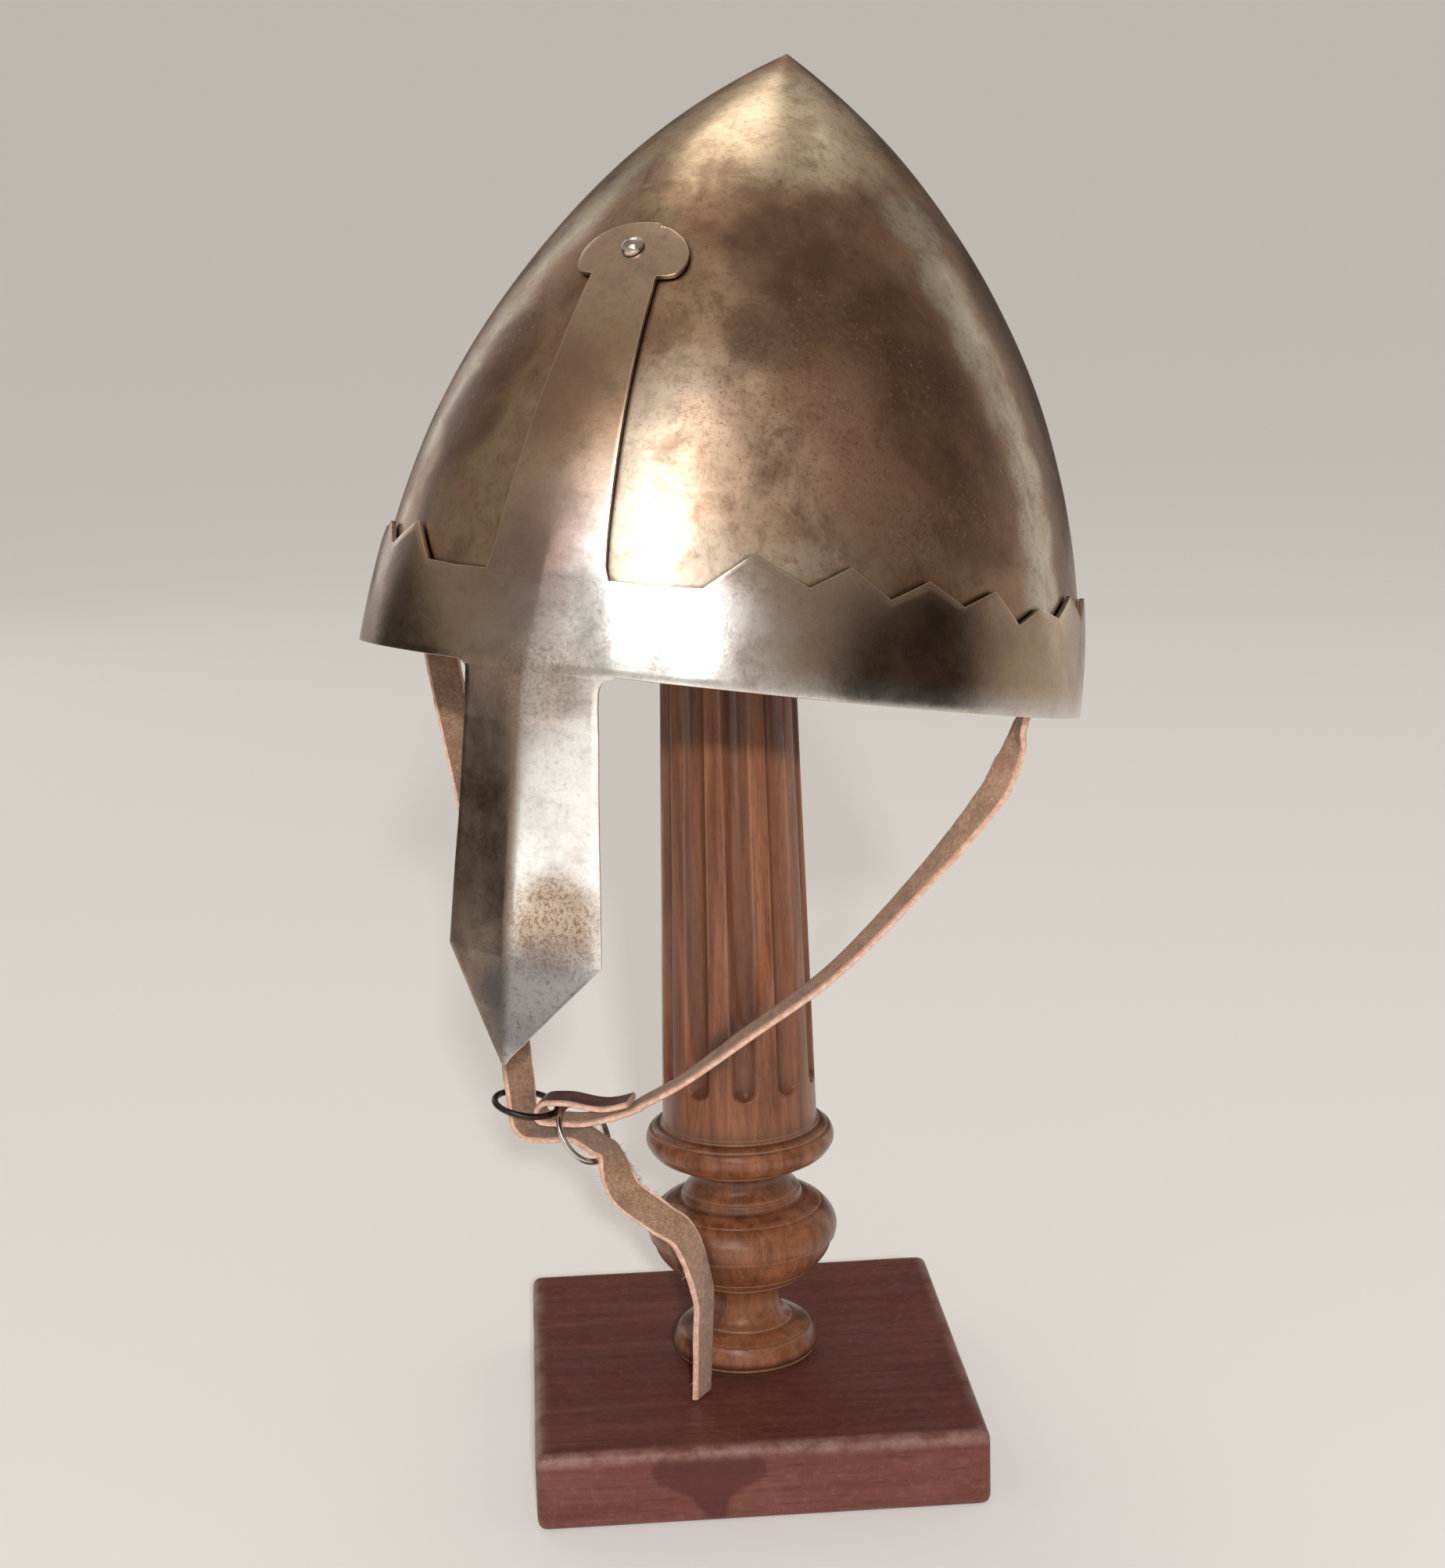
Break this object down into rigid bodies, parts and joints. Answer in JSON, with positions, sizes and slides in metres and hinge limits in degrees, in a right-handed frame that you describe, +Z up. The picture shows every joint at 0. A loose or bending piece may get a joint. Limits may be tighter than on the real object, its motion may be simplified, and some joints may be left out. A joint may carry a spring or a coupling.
{
  "type": "nasal helmet with its plain wooden stand",
  "caption": "Pointed steel helmet with zigzag-edged brow band, nose guard and leather chin strap with rings, seated on a fluted turned wooden stand.",
  "frame": {"origin": "centre of the stand's underside", "axes": "+Z up; the helmet faces -Y and the wearer's left side is at +X; the board is turned 31 degrees about +Z"},
  "size_m": [0.2129, 0.2457, 0.4389],
  "materials": {
    "aged_steel": "satin",
    "band_steel": "satin",
    "suede_leather": "matte",
    "blackened_wire": "satin",
    "nickel_wire": "polished",
    "walnut_wood": "satin",
    "dark_board_wood": "satin"
  },
  "bodies": {
    "root": {"skull": "aged_steel", "brow_band_nasal": "band_steel", "strip_rivet": "aged_steel", "strap_rivet_left": "aged_steel", "strap_rivet_right": "aged_steel", "chin_strap_left": "suede_leather", "chin_strap_right": "suede_leather", "dark_ring": "blackened_wire", "bright_ring": "nickel_wire", "turned_column": "walnut_wood", "base_board": "dark_board_wood"}
  },
  "joints": []
}
